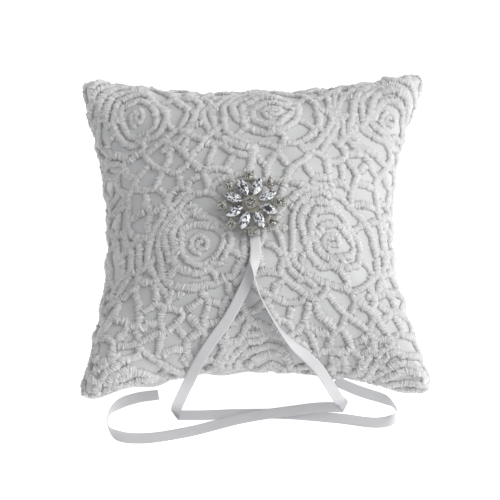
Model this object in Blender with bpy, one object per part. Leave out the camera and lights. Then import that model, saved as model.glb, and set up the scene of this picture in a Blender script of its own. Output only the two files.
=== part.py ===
"""Ring bearer pillow, lying on its back.

A square satin cushion with a corded lace front, a snowflake brooch sewn to the
middle, and one narrow ribbon folded under the brooch whose two tails run over
the near edge onto the table.

Frame: +Z up, origin on the table under the middle of the cushion, +Y towards the
far edge, tails towards -Y. Sizes below are in millimetres; meshes are in metres.
"""

import math

import bmesh
import bpy
import numpy as np
from mathutils import Matrix, Vector

MM = 0.001

# ---- Cushion -------------------------------------------------------------
PANEL_X = 200.0         # sewn panel, seam to seam at the corners
PANEL_Y = 200.0
SEAM_HEIGHT = 42.0      # the seam's height over the table
FRONT_RISE = 46.0       # crown of the lace over the seam
BACK_DROP = 50.0        # belly of the back panel, before the table flattens it
RIM_FULLNESS = 8.0      # half thickness of the stuffed rim and corners
PUFF_POWER = 0.55       # how square-shouldered the stuffed section is
CROWN_SHIFT = 0.12      # the crown lies towards the far edge by this share
SAG_LEFT = 17.5         # how far each seam is drawn in at its middle
SAG_RIGHT = 20.0
SAG_NEAR = 18.5
SAG_FAR = 9.0
CENTRE_TRIM = 0.45      # moves the cushion so that its box is centred on the origin
CORNER_RADIUS = 10.0
CORNER_POWER = 18       # confines the rounding to the corner
FULLNESS_POWER = 6      # confines the fullness to the rim
RIM_BLEND = 8           # takes the fullness to nothing at the seam itself

LACE_THICK = 1.5
SATIN_THICK = 0.8
LAYER_GAP = 0.35        # between two layers, so that they never touch

CELLS = 18              # grid cells along a side, the same on every layer
EVEN_SHARE = 0.4        # share of the grid spacing that is even; the rest crowds to the rim

# ---- Brooch --------------------------------------------------------------
BROOCH_X = -0.3
BROOCH_Y = -0.4
BROOCH_TILT = 9.0       # degrees towards the near edge
BROOCH_TURN = 2.5       # degrees, about its own face
ARMS = 8
STANDOFF = 3.0          # from the lace to the plate's underside
PRESS = 1.5             # how far the brooch sinks the crown
SEAT_RADIUS = 20.0      # the lace is flat under the brooch to here
SEAT_RAMP = 0.05        # then it rises back by this times the distance squared
SEAT_SOFT = 1.6         # roundness of the dimple's rim
PIECE_GAP = 0.2         # between two brooch pieces

PLATE_THICK = 0.8
HUB_RADIUS = 5.2
RING_INNER = 13.4
RING_OUTER = 15.0
PAD_OUTER = 18.2
PAD_HALF_ANGLE = 8.4    # degrees, half of the pad under a square setting

LEAF_INNER = 4.8        # from the middle to a leaf's inner tip
LEAF_LENGTH = 11.2
LEAF_RADIUS = LEAF_INNER + LEAF_LENGTH / 2   # to a leaf's own middle
LEAF_WIDTH = 5.8
LEAF_WALL = 0.7
LEAF_WALL_HEIGHT = 1.3
LEAF_FLOOR = 0.5
LEAF_STONE_SHARE = 0.95
LEAF_STEPS = 6          # straight pieces along one side of a leaf

SQUARE_RADIUS = 16.2
SQUARE_SIDE = 5.0
SQUARE_CLAW = 0.95
SQUARE_WALL_HEIGHT = 1.1
SQUARE_CLAW_HEIGHT = 2.5

CENTRE_SIDE = 6.0
CENTRE_CLAW = 1.0
CENTRE_WALL_HEIGHT = 2.9
CENTRE_CLAW_HEIGHT = 4.8
CENTRE_TURN = 20.0      # degrees
CUP_FLOOR = 0.4

CLAW_CLEARANCE = 0.18   # from a round stone to the claws around it
ROUND_SIDES = 8

# Heights are over the girdle; shares are of the stone's own size there.
STONE_RIM = 0.25        # thickness of the girdle
LEAF_POINT_SHARE = 0.3
LEAF_TABLE_SHARE = 0.5
LEAF_CROWN = 1.2
ROUND_FOOT_SHARE = 0.5
ROUND_TABLE_SHARE = 0.6
ROUND_CROWN_SHARE = 0.4

SHANK_WIRE = 0.8
SHANK_HALF_WIDTH = 1.3
SHANK_DROP = 2.4        # from the plate's underside to the bottom of the eye
THREAD_WIRE = 0.5
THREAD_HALF_SPAN = 1.7
THREAD_TOP = 0.5        # the stitch's top, below the plate's underside

# ---- Ribbon --------------------------------------------------------------
RIBBON_WIDTH = 6.0
RIBBON_THICK = 0.3
FOLD_START = 3.4        # from the brooch's middle towards the near edge
FOLD_END = 17.0
FOLD_SIDE = 1.8         # the fold lies this far to the right of the brooch's middle
FOLD_SLIT = 0.3         # between the fold's two layers
FOLD_LIFT = 0.4         # from the lace to the fold
TAIL_POINTS = 72

# Route of each tail: (x, y, z, across x, across y, across z). "Across" is the
# direction of the ribbon's width at that point.
LEFT_ROUTE = [
    (1.5, -17.6, 84.1, 1.0, 0.0, 0.0),
    (1.9, -25.4, 82.9, 1.0, 0.0, 0.0),
    (0.9, -33.0, 81.9, 1.0, -0.15, 0.0),
    (-2.0, -41.0, 80.0, 0.9, -0.3, -0.1),
    (-7.2, -50.0, 76.6, 0.9, -0.4, -0.1),
    (-16.0, -61.5, 70.4, 0.9, -0.4, -0.1),
    (-24.9, -71.6, 64.4, 0.9, -0.4, -0.1),
    (-32.5, -80.4, 57.8, 0.9, -0.4, -0.1),
    (-39.5, -87.5, 44.0, 0.9, -0.3, -0.1),
    (-43.8, -87.8, 20.0, 1.0, -0.1, 0.0),
    (-46.6, -87.8, 8.0, 1.0, 0.0, 0.0),
    (-47.6, -88.2, 3.5, 0.7, 0.6, 0.2),
    (-46.4, -89.0, 1.5, 0.2, 0.9, 0.0),
    (-43.0, -89.4, 1.3, 0.0, 1.0, 0.1),
    (-31.0, -89.0, 1.3, 0.0, 1.0, 0.2),
    (-10.0, -88.6, 1.3, 0.0, 1.0, 0.2),
    (16.5, -89.6, 1.3, 0.0, 1.0, 0.2),
    (48.0, -93.2, 1.3, 0.0, 1.0, 0.2),
    (69.5, -96.3, 1.5, 0.0, 1.0, 0.2),
    (77.5, -95.0, 2.5, 0.1, 0.8, 0.6),
    (80.5, -91.0, 3.4, 0.0, 0.1, 1.0),
    (78.5, -86.5, 3.4, 0.0, 0.1, 1.0),
    (73.5, -82.5, 2.9, 0.3, 0.6, 0.7),
    (65.0, -79.0, 2.1, 0.2, 0.9, 0.4),
    (57.0, -75.5, 1.6, 0.1, 1.0, 0.3),
    (46.0, -70.0, 1.3, 0.3, 1.0, 0.2),
]
RIGHT_ROUTE = [
    (1.5, -17.9, 84.9, 1.0, 0.0, 0.0),
    (1.9, -25.6, 84.1, 1.0, 0.0, -0.1),
    (1.2, -33.0, 84.6, 0.8, 0.1, -0.4),
    (0.9, -40.0, 84.2, 0.3, 0.35, -0.85),
    (2.6, -47.6, 80.9, 0.25, 0.35, -0.85),
    (5.6, -54.4, 77.6, 0.25, 0.35, -0.85),
    (14.6, -68.0, 70.2, 0.4, 0.25, -0.8),
    (22.0, -75.4, 65.0, 0.8, -0.1, -0.6),
    (28.5, -79.8, 60.7, 0.9, -0.4, -0.2),
    (34.5, -83.6, 55.0, 0.9, -0.5, 0.1),
    (42.5, -88.0, 42.0, 0.9, -0.4, 0.1),
    (49.5, -88.2, 14.0, 0.9, -0.3, 0.0),
    (51.6, -87.8, 6.0, 0.8, 0.3, 0.4),
    (51.0, -87.6, 3.4, 0.3, 0.9, 0.1),
    (47.0, -86.6, 2.8, 0.0, 1.0, 0.1),
    (37.0, -86.5, 3.1, 0.0, 1.0, 0.2),
    (20.0, -88.9, 3.2, 0.0, 1.0, 0.2),
    (4.0, -91.0, 3.2, 0.0, 1.0, 0.2),
    (-9.0, -93.2, 2.7, 0.0, 1.0, 0.2),
    (-39.0, -100.2, 1.4, 0.0, 1.0, 0.2),
    (-64.0, -103.6, 1.5, 0.0, 1.0, 0.3),
    (-77.0, -102.3, 2.5, -0.1, 0.8, 0.6),
    (-82.5, -98.0, 3.4, 0.0, 0.1, 1.0),
    (-83.2, -92.5, 3.4, 0.0, 0.0, 1.0),
    (-81.5, -87.5, 3.4, 0.0, 0.2, 1.0),
    (-75.5, -82.5, 2.7, -0.2, 0.7, 0.6),
    (-66.5, -79.0, 1.9, -0.2, 0.9, 0.4),
    (-54.5, -77.0, 1.6, -0.1, 1.0, 0.3),
]


# ---- Helpers ---------------------------------------------------------------
def clear_scene():
    """Remove every object of the open scene."""
    for obj in list(bpy.data.objects):
        bpy.data.objects.remove(obj, do_unlink=True)


def make_material(name, colour, roughness, metallic=0.0):
    """A plain Principled material."""
    material = bpy.data.materials.new(name)
    material.use_nodes = True
    shader = material.node_tree.nodes["Principled BSDF"]
    shader.inputs["Base Color"].default_value = (*colour, 1.0)
    shader.inputs["Roughness"].default_value = roughness
    shader.inputs["Metallic"].default_value = metallic
    return material


def add_piece(name, vertices, faces, material, smooth_angle=None, parent=None, place=None):
    """One closed solid from vertices in millimetres, its faces turned outwards."""
    mesh = bpy.data.meshes.new(name)
    mesh.from_pydata([Vector(v) * MM for v in vertices], [], faces)
    work = bmesh.new()
    work.from_mesh(mesh)
    bmesh.ops.recalc_face_normals(work, faces=work.faces)
    if work.calc_volume(signed=True) < 0.0:
        bmesh.ops.reverse_faces(work, faces=work.faces)
    work.to_mesh(mesh)
    work.free()
    if smooth_angle is not None:
        mesh.shade_smooth()
        mesh.set_sharp_from_angle(angle=math.radians(smooth_angle))
    mesh.materials.append(material)
    return add_object(name, mesh, parent, place)


def add_object(name, data, parent=None, place=None):
    """Link an object; place is its matrix under its parent, in metres."""
    obj = bpy.data.objects.new(name, data)
    bpy.context.scene.collection.objects.link(obj)
    obj.parent = parent
    if place is not None:
        obj.matrix_local = place
    return obj


def shift(x, y, z):
    """A move in millimetres."""
    return Matrix.Translation(Vector((x, y, z)) * MM)


def turn(degrees, axis="Z"):
    """A turn about one axis."""
    return Matrix.Rotation(math.radians(degrees), 4, axis)


def join_rings(rings, close_ends=True):
    """Faces between equal rings of vertices, with both ends capped."""
    size = len(rings[0])
    vertices = [point for ring in rings for point in ring]
    faces = []
    for k in range(len(rings) - 1):
        low, high = k * size, (k + 1) * size
        for i in range(size):
            j = (i + 1) % size
            faces.append((low + i, low + j, high + j, high + i))
    if close_ends:
        faces.append(tuple(range(size)))
        faces.append(tuple(range(len(vertices) - size, len(vertices))))
    return vertices, faces


# ---- Cushion ---------------------------------------------------------------
def grid_spacing(cells):
    """Grid lines from -1 to 1 that crowd towards the rim."""
    even = np.linspace(-1.0, 1.0, cells + 1)
    return EVEN_SHARE * even + (1.0 - EVEN_SHARE) * np.sin(even * math.pi / 2.0)


def outline(u, v, inset):
    """Plan position of grid point (u, v) on a layer that lies inset inside the lace."""
    side = np.where(u < 0.0, SAG_LEFT, SAG_RIGHT)
    end = np.where(v < 0.0, SAG_NEAR, SAG_FAR)
    corner = CORNER_RADIUS * (1.0 - math.sqrt(0.5)) * np.abs(u * v) ** CORNER_POWER
    x = u * (PANEL_X / 2.0 - inset - side * (1.0 - v * v)) - np.sign(u) * corner
    y = v * (PANEL_Y / 2.0 - inset - end * (1.0 - u * u)) - np.sign(v) * corner
    return x, y - CENTRE_TRIM


def puff(u, v, rise, fullness):
    """Height of a stuffed panel over the seam."""
    w = v - CROWN_SHIFT * (1.0 - v * v)
    middle = (1.0 - u * u) * (1.0 - w * w)
    rim = np.sqrt(np.clip((1.0 - np.abs(u) ** RIM_BLEND) * (1.0 - np.abs(v) ** RIM_BLEND), 0.0, None))
    body = np.clip(middle, 0.0, None) ** PUFF_POWER
    return rise * body + fullness * rim * (1.0 - middle) ** FULLNESS_POWER


def seat_plane(x, y):
    """Height over the table of the plane in which the brooch's underside lies."""
    return brooch_height() + (y - BROOCH_Y) * math.tan(math.radians(BROOCH_TILT))


def brooch_height():
    """Height over the table of the middle of the brooch's underside."""
    u = BROOCH_X / (PANEL_X / 2.0 - SAG_LEFT)
    v = BROOCH_Y / (PANEL_Y / 2.0 - SAG_NEAR)
    crown = SEAM_HEIGHT + LAYER_GAP / 2.0 + float(puff(u, v, FRONT_RISE, RIM_FULLNESS))
    return crown - PRESS + STANDOFF


def front_surface(u, v, inset):
    """A layer of the front, inset inside the lace, with the dimple under the brooch."""
    x, y = outline(u, v, inset)
    free = SEAM_HEIGHT + LAYER_GAP / 2.0 + puff(u, v, FRONT_RISE - inset, RIM_FULLNESS - inset)
    reach = np.hypot(x - BROOCH_X, y - BROOCH_Y)
    ramp = SEAT_RAMP * np.clip(reach - SEAT_RADIUS, 0.0, None) ** 2
    pressed = seat_plane(x, y) - STANDOFF - inset + ramp
    lower = np.minimum(free, pressed)
    gap = np.abs(free - pressed)
    z = lower - SEAT_SOFT * np.log1p(np.exp(-gap / SEAT_SOFT))
    rim = np.maximum(np.abs(u), np.abs(v)) >= 1.0
    return x, y, np.where(rim, SEAM_HEIGHT + LAYER_GAP / 2.0, z)


def back_surface(u, v, inset):
    """A layer of the back, inset inside the back cover's outside, flat on the table."""
    x, y = outline(u, v, cover_inset() + inset)
    rim_height = SEAM_HEIGHT - LAYER_GAP / 2.0
    free = rim_height - puff(u, v, BACK_DROP - inset, RIM_FULLNESS - inset)
    return x, y, np.maximum(free, inset)


def cover_inset():
    """How far the satin's outside lies inside the lace's."""
    return LACE_THICK + LAYER_GAP


def filling_inset():
    """How far the filling lies inside the satin's outside."""
    return SATIN_THICK + LAYER_GAP


def surface_grid(surface, cells, inset):
    """Rows of points of one surface."""
    lines = grid_spacing(cells)
    u, v = np.meshgrid(lines, lines, indexing="ij")
    return np.stack(surface(u, v, inset), axis=-1)


def rim_walk(cells):
    """Grid indices around the rim, in order."""
    near = [(i, 0) for i in range(cells)]
    right = [(cells, j) for j in range(cells)]
    far = [(i, cells) for i in range(cells, 0, -1)]
    left = [(0, j) for j in range(cells, 0, -1)]
    return near + right + far + left


def grid_faces(cells, number):
    """Two triangles a cell, cut the same way on every layer so that layers never cross."""
    faces = []
    for i in range(cells):
        for j in range(cells):
            a, b, c, d = (number(i, j), number(i + 1, j), number(i + 1, j + 1), number(i, j + 1))
            same_half = (2 * i < cells) == (2 * j < cells)
            faces += [(a, b, c), (a, c, d)] if same_half else [(a, b, d), (b, c, d)]
    return faces


def add_shell(name, surface, cells, inset, thickness, material):
    """An open dish of cloth: an outside, an inside and a rim between them."""
    outside = surface_grid(surface, cells, inset)
    inside = surface_grid(surface, cells, inset + thickness)
    row = cells + 1
    count = row * row
    vertices = list(outside.reshape(-1, 3)) + list(inside.reshape(-1, 3))
    faces = grid_faces(cells, lambda i, j: i * row + j)
    faces += grid_faces(cells, lambda i, j: count + i * row + j)
    walk = rim_walk(cells)
    for (i, j), (k, m) in zip(walk, walk[1:] + walk[:1]):
        here, there = i * row + j, k * row + m
        faces.append((here, there, count + there, count + here))
    return add_piece(name, vertices, faces, material, smooth_angle=60.0)


def add_filling(material):
    """The stuffing: one closed cushion inside both covers."""
    top = surface_grid(front_surface, CELLS, cover_inset() + filling_inset())
    bottom = surface_grid(back_surface, CELLS, filling_inset())
    row = CELLS + 1
    vertices = list(top.reshape(-1, 3))
    number = {}
    for i in range(row):
        for j in range(row):
            if i in (0, CELLS) or j in (0, CELLS):
                number[i, j] = i * row + j
                vertices[i * row + j][2] = SEAM_HEIGHT
            else:
                number[i, j] = len(vertices)
                vertices.append(bottom[i, j])
    faces = grid_faces(CELLS, lambda i, j: i * row + j)
    faces += grid_faces(CELLS, lambda i, j: number[i, j])
    return add_piece("fibre_filling", vertices, faces, material, smooth_angle=60.0)


def build_cushion():
    """Lace, satin case and stuffing."""
    satin = make_material("satin", (0.82, 0.82, 0.82), 0.35)
    back_satin = make_material("back_satin", (0.80, 0.80, 0.80), 0.40)
    lace = make_material("lace", (0.86, 0.86, 0.85), 0.85)
    fibre = make_material("fibre", (0.90, 0.90, 0.88), 0.95)
    add_shell("lace_front", front_surface, CELLS, 0.0, LACE_THICK, lace)
    add_shell("cover_front", front_surface, CELLS, cover_inset(), SATIN_THICK, satin)
    add_shell("cover_back", back_surface, CELLS, 0.0, SATIN_THICK, back_satin)
    add_filling(fibre)


# ---- Brooch ----------------------------------------------------------------
def add_brooch_axis():
    """The brooch's own axis: every brooch piece is placed under it."""
    place = shift(BROOCH_X, BROOCH_Y, brooch_height()) @ turn(BROOCH_TILT, "X") @ turn(BROOCH_TURN)
    return add_object("brooch_axis", None, place=place)


def plate_angles():
    """Edges of one eighth of the plate, in degrees from the arm of a square setting."""
    half_arm = 90.0 / ARMS
    middle = 180.0 / ARMS
    return [0.0, PAD_HALF_ANGLE, half_arm, middle, 2.0 * middle - half_arm, 2.0 * middle - PAD_HALF_ANGLE]


def plate_has(ring, step):
    """Whether the plate has metal in this ring between edges step and step + 1."""
    between_leaves = step in (0, 1, 4, 5)
    under_square = step in (0, 5)
    return {0: True, 1: not between_leaves, 2: True, 3: under_square}[ring]


def add_plate(axis, material):
    """The openwork base: hub, leaf-shaped arms, a ring and a pad under each square."""
    eighth = plate_angles()
    angles = [math.radians(360.0 / ARMS * k + a) for k in range(ARMS) for a in eighth]
    radii = [HUB_RADIUS, RING_INNER, RING_OUTER, PAD_OUTER]
    count = len(angles)
    vertices = [(0.0, 0.0, 0.0), (0.0, 0.0, PLATE_THICK)]
    for z in (0.0, PLATE_THICK):
        vertices += [(r * math.cos(a), r * math.sin(a), z) for r in radii for a in angles]

    def number(level, ring, step):
        return 2 + level * len(radii) * count + ring * count + step % count

    def solid(ring, step):
        return ring < len(radii) and plate_has(ring, step % len(eighth))

    faces = []
    for step in range(count):
        for level in (0, 1):
            faces.append((level, number(level, 0, step), number(level, 0, step + 1)))
            for ring in range(1, len(radii)):
                if solid(ring, step):
                    faces.append((number(level, ring - 1, step), number(level, ring, step),
                                  number(level, ring, step + 1), number(level, ring - 1, step + 1)))
        for ring in range(len(radii)):
            if solid(ring, step) != solid(ring + 1, step):
                faces.append((number(0, ring, step), number(0, ring, step + 1),
                              number(1, ring, step + 1), number(1, ring, step)))
            if ring and solid(ring, step) != solid(ring, step - 1):
                faces.append((number(0, ring - 1, step), number(0, ring, step),
                              number(1, ring, step), number(1, ring - 1, step)))
    used = sorted({index for face in faces for index in face})
    renumber = {old: new for new, old in enumerate(used)}
    faces = [tuple(renumber[index] for index in face) for face in faces]
    add_piece("brooch_plate", [vertices[k] for k in used], faces, material, parent=axis)


def leaf_ring(length, width, z):
    """A pointed oval of two arcs, lengthwise along X."""
    half, rise = length / 2.0, width / 2.0
    radius = (half * half + rise * rise) / (2.0 * rise)
    sweep = math.asin(half / radius)
    ring = []
    for sign in (1.0, -1.0):
        for k in range(LEAF_STEPS):
            angle = sign * sweep * (1.0 - 2.0 * k / LEAF_STEPS)
            ring.append((radius * math.sin(angle), sign * (radius * math.cos(angle) - radius + rise), z))
    return ring


def leaf_setting_parts():
    """A tray with a wall all round it."""
    inner_length = LEAF_LENGTH - 2.0 * LEAF_WALL * LEAF_LENGTH / LEAF_WIDTH
    inner_width = LEAF_WIDTH - 2.0 * LEAF_WALL
    return join_rings([
        leaf_ring(LEAF_LENGTH, LEAF_WIDTH, 0.0),
        leaf_ring(LEAF_LENGTH, LEAF_WIDTH, LEAF_WALL_HEIGHT),
        leaf_ring(inner_length, inner_width, LEAF_WALL_HEIGHT),
        leaf_ring(inner_length, inner_width, LEAF_FLOOR),
    ])


def leaf_stone_parts():
    """A cut stone: it rests on the wall, its point in the tray."""
    length, width = LEAF_LENGTH * LEAF_STONE_SHARE, LEAF_WIDTH * LEAF_STONE_SHARE
    girdle = LEAF_WALL_HEIGHT + PIECE_GAP

    def ring(share, z):
        return leaf_ring(length * share, width * share, z)

    return join_rings([
        ring(LEAF_POINT_SHARE, LEAF_FLOOR + PIECE_GAP),
        ring(2.0 * LEAF_POINT_SHARE, girdle),
        ring(1.0, girdle),
        ring(1.0, girdle + STONE_RIM),
        ring(LEAF_TABLE_SHARE, girdle + LEAF_CROWN),
    ])


def cup_parts(side, claw, wall_height, claw_height):
    """A square cup with a claw on each corner, as three by three columns."""
    edges = [-side / 2.0, -side / 2.0 + claw, side / 2.0 - claw, side / 2.0]
    levels = [0.0, CUP_FLOOR + wall_height / 2.0, wall_height, claw_height]
    tops = {(i, j): 2 for i in range(3) for j in range(3)}
    tops[1, 1] = 1
    for corner in ((0, 0), (0, 2), (2, 0), (2, 2)):
        tops[corner] = 3
    vertices, number, faces = [], {}, []

    def vertex(i, j, level):
        key = (i, j, level)
        if key not in number:
            number[key] = len(vertices)
            vertices.append((edges[i], edges[j], levels[level]))
        return number[key]

    def flat(i, j, level):
        faces.append((vertex(i, j, level), vertex(i + 1, j, level),
                      vertex(i + 1, j + 1, level), vertex(i, j + 1, level)))

    def wall(a, b, low):
        faces.append((vertex(*a, low), vertex(*b, low), vertex(*b, low + 1), vertex(*a, low + 1)))

    for i in range(3):
        for j in range(3):
            flat(i, j, 0)
            flat(i, j, tops[i, j])
            sides = (((i + 1, j), (i + 1, j), (i + 1, j + 1)), ((i - 1, j), (i, j), (i, j + 1)),
                     ((i, j + 1), (i, j + 1), (i + 1, j + 1)), ((i, j - 1), (i, j), (i + 1, j)))
            for neighbour, a, b in sides:
                for low in range(tops.get(neighbour, 0), tops[i, j]):
                    wall(a, b, low)
    return vertices, faces


def round_ring(radius, z):
    """A ring of a round stone, its flats towards the claws."""
    step = 2.0 * math.pi / ROUND_SIDES
    return [(radius * math.cos(step * k), radius * math.sin(step * k), z) for k in range(ROUND_SIDES)]


def round_stone_parts(side, claw, wall_height):
    """A round stone that fills the cup up to its claws and rests on its wall."""
    radius = math.sqrt(2.0) * (side / 2.0 - claw) - CLAW_CLEARANCE
    girdle = wall_height + PIECE_GAP
    return join_rings([
        round_ring(radius * ROUND_FOOT_SHARE, girdle),
        round_ring(radius, girdle),
        round_ring(radius, girdle + STONE_RIM),
        round_ring(radius * ROUND_TABLE_SHARE, girdle + radius * ROUND_CROWN_SHARE),
    ])


def around(axis_turn, radius):
    """The place of a setting on the plate, its own X pointing outwards."""
    return turn(axis_turn) @ shift(radius, 0.0, PLATE_THICK + PIECE_GAP)


def add_wire(name, points, diameter, material, parent):
    """A round wire through points in millimetres."""
    curve = bpy.data.curves.new(name, "CURVE")
    curve.dimensions = "3D"
    curve.bevel_depth = diameter * MM / 2.0
    curve.bevel_resolution = 1
    curve.use_fill_caps = True
    spline = curve.splines.new("POLY")
    spline.points.add(len(points) - 1)
    for point, place in zip(spline.points, points):
        point.co = (*(Vector(place) * MM), 1.0)
    curve.materials.append(material)
    return add_object(name, curve, parent)


def hairpin(half_width, straight_end, bottom, steps=8):
    """A U of wire: down one leg, round the bottom and up the other."""
    angles = [math.pi * k / steps for k in range(steps + 1)]
    bend = [(-half_width * math.cos(a), bottom + half_width * (1.0 - math.sin(a))) for a in angles]
    return [(-half_width, straight_end)] + bend + [(half_width, straight_end)]


def build_brooch(axis):
    """Every metal piece and stone of the brooch."""
    silver = make_material("silver", (0.74, 0.72, 0.68), 0.25, 1.0)
    clear = make_material("clear_stone", (0.72, 0.75, 0.82), 0.05)
    smoky = make_material("smoky_stone", (0.42, 0.42, 0.39), 0.08)
    add_plate(axis, silver)
    for k in range(ARMS):
        leaf_place = around((k + 0.5) * 360.0 / ARMS, LEAF_RADIUS)
        square_place = around(k * 360.0 / ARMS, SQUARE_RADIUS)
        add_piece(f"leaf_setting_{k + 1}", *leaf_setting_parts(), silver, 40.0, axis, leaf_place)
        add_piece(f"leaf_stone_{k + 1}", *leaf_stone_parts(), clear, None, axis, leaf_place)
        cup = cup_parts(SQUARE_SIDE, SQUARE_CLAW, SQUARE_WALL_HEIGHT, SQUARE_CLAW_HEIGHT)
        add_piece(f"square_setting_{k + 1}", *cup, silver, None, axis, square_place)
        stone = round_stone_parts(SQUARE_SIDE, SQUARE_CLAW, SQUARE_WALL_HEIGHT)
        add_piece(f"round_stone_{k + 1}", *stone, smoky, None, axis, square_place)
    centre_place = around(CENTRE_TURN, 0.0)
    cup = cup_parts(CENTRE_SIDE, CENTRE_CLAW, CENTRE_WALL_HEIGHT, CENTRE_CLAW_HEIGHT)
    add_piece("centre_setting", *cup, silver, None, axis, centre_place)
    stone = round_stone_parts(CENTRE_SIDE, CENTRE_CLAW, CENTRE_WALL_HEIGHT)
    add_piece("centre_stone", *stone, smoky, None, axis, centre_place)


def build_fastening(axis):
    """The eye under the brooch and the stitch that holds it to the cushion."""
    steel = make_material("shank_wire", (0.70, 0.69, 0.66), 0.3, 1.0)
    thread = make_material("thread", (0.88, 0.88, 0.86), 0.9)
    wire_radius = SHANK_WIRE / 2.0
    eye = hairpin(SHANK_HALF_WIDTH, -PIECE_GAP, wire_radius - SHANK_DROP)
    add_wire("brooch_shank", [(0.0, y, z) for y, z in eye], SHANK_WIRE, steel, axis)
    thread_radius = THREAD_WIRE / 2.0
    stitch = hairpin(THREAD_HALF_SPAN, STANDOFF - LAYER_GAP, THREAD_TOP + thread_radius)
    add_wire("sewing_thread", [(x, 0.0, -depth) for x, depth in stitch], THREAD_WIRE, thread, axis)


# ---- Ribbon ----------------------------------------------------------------
def build_fold(axis, material):
    """The ribbon's fold: two layers joined at the end under the brooch."""
    low = FOLD_LIFT - STANDOFF
    high = low + 2.0 * RIBBON_THICK + FOLD_SLIT
    start, end = -FOLD_START, -FOLD_END
    profile = [
        (end, low), (start - RIBBON_THICK, low), (start, low + RIBBON_THICK),
        (start, high - RIBBON_THICK), (start - RIBBON_THICK, high), (end, high),
        (end, high - RIBBON_THICK), (start - 2.0 * RIBBON_THICK, high - RIBBON_THICK),
        (start - 2.0 * RIBBON_THICK, low + RIBBON_THICK), (end, low + RIBBON_THICK),
    ]
    edges = (FOLD_SIDE - RIBBON_WIDTH / 2.0, FOLD_SIDE + RIBBON_WIDTH / 2.0)
    rings = [[(x, y, z) for y, z in profile] for x in edges]
    add_piece("ribbon_fold", *join_rings(rings), material, parent=axis, place=turn(-BROOCH_TURN))


def smooth_route(stops, count):
    """Evenly spaced rows of a smooth curve through the stops."""
    stops = np.array(stops, dtype=float)
    steps = np.linalg.norm(np.diff(stops[:, :3], axis=0), axis=1) ** 0.5
    knots = np.concatenate([[0.0], np.cumsum(steps)])
    ends = np.vstack([2.0 * stops[0] - stops[1], stops, 2.0 * stops[-1] - stops[-2]])
    knots = np.concatenate([[knots[0] - steps[0]], knots, [knots[-1] + steps[-1]]])
    fine = []
    for k in range(1, len(stops)):
        for t in np.linspace(knots[k], knots[k + 1], 24, endpoint=False):
            fine.append(spline_point(ends[k - 1:k + 3], knots[k - 1:k + 3], t))
    fine.append(stops[-1])
    fine = np.array(fine)
    length = np.concatenate([[0.0], np.cumsum(np.linalg.norm(np.diff(fine[:, :3], axis=0), axis=1))])
    even = np.linspace(0.0, length[-1], count)
    return np.stack([np.interp(even, length, column) for column in fine.T], axis=1), length[-1]


def spline_point(points, knots, t):
    """One point of a centripetal Catmull-Rom span, by repeated mixing."""
    def mix(a, b, low, high):
        share = (t - low) / (high - low)
        return a * (1.0 - share) + b * share

    first = [mix(points[k], points[k + 1], knots[k], knots[k + 1]) for k in range(3)]
    second = [mix(first[k], first[k + 1], knots[k], knots[k + 2]) for k in range(2)]
    return mix(*second, knots[1], knots[2])


def add_tail(name, route, material):
    """One free tail: a flat band along its route."""
    rows, _ = smooth_route(route, TAIL_POINTS)
    centres, across = rows[:, :3], rows[:, 3:]
    along = np.gradient(centres, axis=0)
    along /= np.linalg.norm(along, axis=1, keepdims=True)
    across = across - along * np.sum(across * along, axis=1, keepdims=True)
    across /= np.linalg.norm(across, axis=1, keepdims=True)
    face = np.cross(along, across)
    w, t = across * RIBBON_WIDTH / 2.0, face * RIBBON_THICK / 2.0
    rings = [[c - a - b, c + a - b, c + a + b, c - a + b] for c, a, b in zip(centres, w, t)]
    add_piece(name, *join_rings(rings), material, smooth_angle=60.0)


def build_ribbon(axis):
    """The fold under the brooch and the two tails."""
    satin = make_material("ribbon_satin", (0.86, 0.86, 0.88), 0.3)
    build_fold(axis, satin)
    for name, route in (("ribbon_tail_left", LEFT_ROUTE), ("ribbon_tail_right", RIGHT_ROUTE)):
        add_tail(name, route, satin)


def main():
    """Build the whole object."""
    clear_scene()
    build_cushion()
    axis = add_brooch_axis()
    build_brooch(axis)
    build_fastening(axis)
    build_ribbon(axis)


main()
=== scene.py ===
"""Ring bearer pillow: its looks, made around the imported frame.

A stuffed satin case with a corded rose lace laid over its front, a snowflake
brooch with cut stones, and one narrow satin ribbon with two free tails.

Sizes are in millimetres unless a name says otherwise; meshes are in metres.
"""

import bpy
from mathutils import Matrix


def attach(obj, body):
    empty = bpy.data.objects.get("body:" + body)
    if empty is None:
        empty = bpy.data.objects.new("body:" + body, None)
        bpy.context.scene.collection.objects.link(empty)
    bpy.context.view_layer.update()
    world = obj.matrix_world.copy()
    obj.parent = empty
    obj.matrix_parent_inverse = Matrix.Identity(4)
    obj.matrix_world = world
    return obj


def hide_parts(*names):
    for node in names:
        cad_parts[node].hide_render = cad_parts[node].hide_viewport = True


bl_info = {
    "name": "Ring Bearer Pillow",
    "version": (1, 0, 0),
    "blender": (4, 5, 0),
    "location": "3D View > Sidebar > Ring Pillow",
    "description": "Makes the case, lace, ribbon and brooch of a ring bearer pillow",
    "category": "Add Mesh",
}

from math import asin, cos, hypot, pi, radians, sin, sqrt, tan

import bpy
import numpy as np
from bpy.types import Operator, PropertyGroup
from mathutils import Matrix, Vector
from mathutils.geometry import delaunay_2d_cdt

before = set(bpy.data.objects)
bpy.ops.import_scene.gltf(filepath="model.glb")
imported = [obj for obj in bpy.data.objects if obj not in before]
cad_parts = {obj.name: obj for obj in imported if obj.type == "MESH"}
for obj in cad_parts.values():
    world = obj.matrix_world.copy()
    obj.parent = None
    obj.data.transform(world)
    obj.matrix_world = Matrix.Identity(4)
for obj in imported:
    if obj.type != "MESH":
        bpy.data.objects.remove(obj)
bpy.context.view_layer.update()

MM = 0.001

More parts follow.
